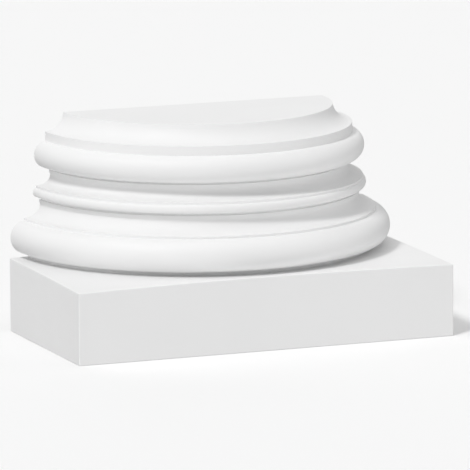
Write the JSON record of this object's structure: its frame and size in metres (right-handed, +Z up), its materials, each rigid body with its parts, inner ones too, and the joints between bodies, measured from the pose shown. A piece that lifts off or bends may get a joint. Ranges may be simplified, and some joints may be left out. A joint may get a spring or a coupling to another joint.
{
  "type": "half column base",
  "caption": "Classical base for a half column: two tori, scotias and a bead turned on a square plinth, cut flat through the axis to stand against a wall.",
  "frame": {"origin": "centre of the underside of the plinth, on the floor", "axes": "+Z up along the column's axis, +Y back into the wall, +X to the right as seen from the front"},
  "size_m": [0.34, 0.17, 0.1872],
  "materials": {
    "white_primer": "moulded hard polyurethane foam with a smooth satin-matt white primer"
  },
  "bodies": {
    "root": {"half_column_base": "white_primer"}
  },
  "joints": []
}
